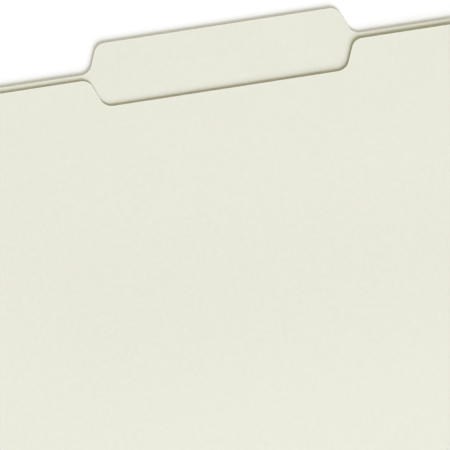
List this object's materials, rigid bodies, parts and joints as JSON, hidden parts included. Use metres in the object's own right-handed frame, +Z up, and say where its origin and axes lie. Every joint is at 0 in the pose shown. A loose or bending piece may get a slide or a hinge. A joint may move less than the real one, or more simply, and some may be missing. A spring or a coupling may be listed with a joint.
{
  "type": "fastener folder",
  "caption": "Closed letter-size pressboard file folder with a centre tab, a notched front cover, a pleated cloth gusset and a two-prong fastener inside each cover.",
  "frame": {"origin": "bottom centre of the closed folder's box, on the underside of the gusset tape", "axes": "+X along the covers' width, to the right with the tab away from you; +Y from the fold to the tab; +Z up from the back cover to the front cover"},
  "size_m": [0.2984, 0.2414, 0.0115],
  "materials": {
    "pressboard": "matt, faintly mottled, pale grey-green",
    "gusset_cloth": "fine matt weave, grey-green",
    "patch_paper": "matt",
    "steel": "bright tinplate"
  },
  "bodies": {
    "back_cover": {"back_board": "pressboard", "gusset_back_flap": "gusset_cloth", "back_fastener_base": "steel", "back_fastener_patch": "patch_paper", "back_compressor_bar": "steel"},
    "back_pleat": {"gusset_back_panel": "gusset_cloth"},
    "front_pleat": {"gusset_front_panel": "gusset_cloth"},
    "front_cover": {"front_board": "pressboard", "gusset_front_flap": "gusset_cloth", "front_fastener_base": "steel", "front_fastener_patch": "patch_paper", "front_compressor_bar": "steel"},
    "back_upper_prong": {"back_upper_prong": "steel"},
    "back_lower_prong": {"back_lower_prong": "steel"},
    "back_upper_slide": {"back_upper_slide": "steel"},
    "back_lower_slide": {"back_lower_slide": "steel"},
    "front_upper_prong": {"front_upper_prong": "steel"},
    "front_lower_prong": {"front_lower_prong": "steel"},
    "front_upper_slide": {"front_upper_slide": "steel"},
    "front_lower_slide": {"front_lower_slide": "steel"}
  },
  "joints": [
    {"name": "back_crease", "type": "hinge", "parent": "back_cover", "child": "back_pleat", "pos_m": [0, -0.12062, 0.00025], "axis": [1, 0, 0], "range_deg": [0, 155.42]},
    {"name": "middle_crease", "type": "hinge", "parent": "back_pleat", "child": "front_pleat", "pos_m": [0, -0.10918, 0.00576], "axis": [1, 0, 0], "range_deg": [-130.84, 0]},
    {"name": "front_cover_open", "type": "hinge", "parent": "front_pleat", "child": "front_cover", "pos_m": [0, -0.12062, 0.01127], "axis": [1, 0, 0], "range_deg": [0, 157.75]},
    {"name": "back_upper_prong_bend", "type": "hinge", "parent": "back_cover", "child": "back_upper_prong", "pos_m": [-0.12702, 0.02848, 0.00214], "axis": [-1, 0, 0], "range_deg": [0, 90]},
    {"name": "back_lower_prong_bend", "type": "hinge", "parent": "back_cover", "child": "back_lower_prong", "pos_m": [-0.12702, -0.04112, 0.00214], "axis": [1, 0, 0], "range_deg": [0, 90]},
    {"name": "front_upper_prong_bend", "type": "hinge", "parent": "front_cover", "child": "front_upper_prong", "pos_m": [-0.12702, 0.02828, 0.0033], "axis": [1, 0, 0], "range_deg": [0, 90]},
    {"name": "front_lower_prong_bend", "type": "hinge", "parent": "front_cover", "child": "front_lower_prong", "pos_m": [-0.12702, -0.04126, 0.00614], "axis": [-1, 0, 0], "range_deg": [0, 90]},
    {"name": "back_upper_slide_travel", "type": "slide", "parent": "back_cover", "child": "back_upper_slide", "axis": [0, 1, 0], "range_m": [0, 0.022]},
    {"name": "back_lower_slide_travel", "type": "slide", "parent": "back_cover", "child": "back_lower_slide", "axis": [0, -1, 0], "range_m": [0, 0.022]},
    {"name": "front_upper_slide_travel", "type": "slide", "parent": "front_cover", "child": "front_upper_slide", "axis": [0, 0.9992, -0.0408], "range_m": [0, 0.022]},
    {"name": "front_lower_slide_travel", "type": "slide", "parent": "front_cover", "child": "front_lower_slide", "axis": [0, -0.9992, 0.0408], "range_m": [0, 0.022]}
  ],
  "couplings": [
    {"joint": "back_crease", "follows": "front_cover_open", "ratio": 0.98517},
    {"joint": "middle_crease", "follows": "front_cover_open", "ratio": -0.82933},
    {"joint": "back_upper_prong_bend", "follows": "front_cover_open", "ratio": 0.5705},
    {"joint": "back_lower_prong_bend", "follows": "front_cover_open", "ratio": 0.5705},
    {"joint": "front_upper_prong_bend", "follows": "front_cover_open", "ratio": 0.5705},
    {"joint": "front_lower_prong_bend", "follows": "front_cover_open", "ratio": 0.5705}
  ]
}
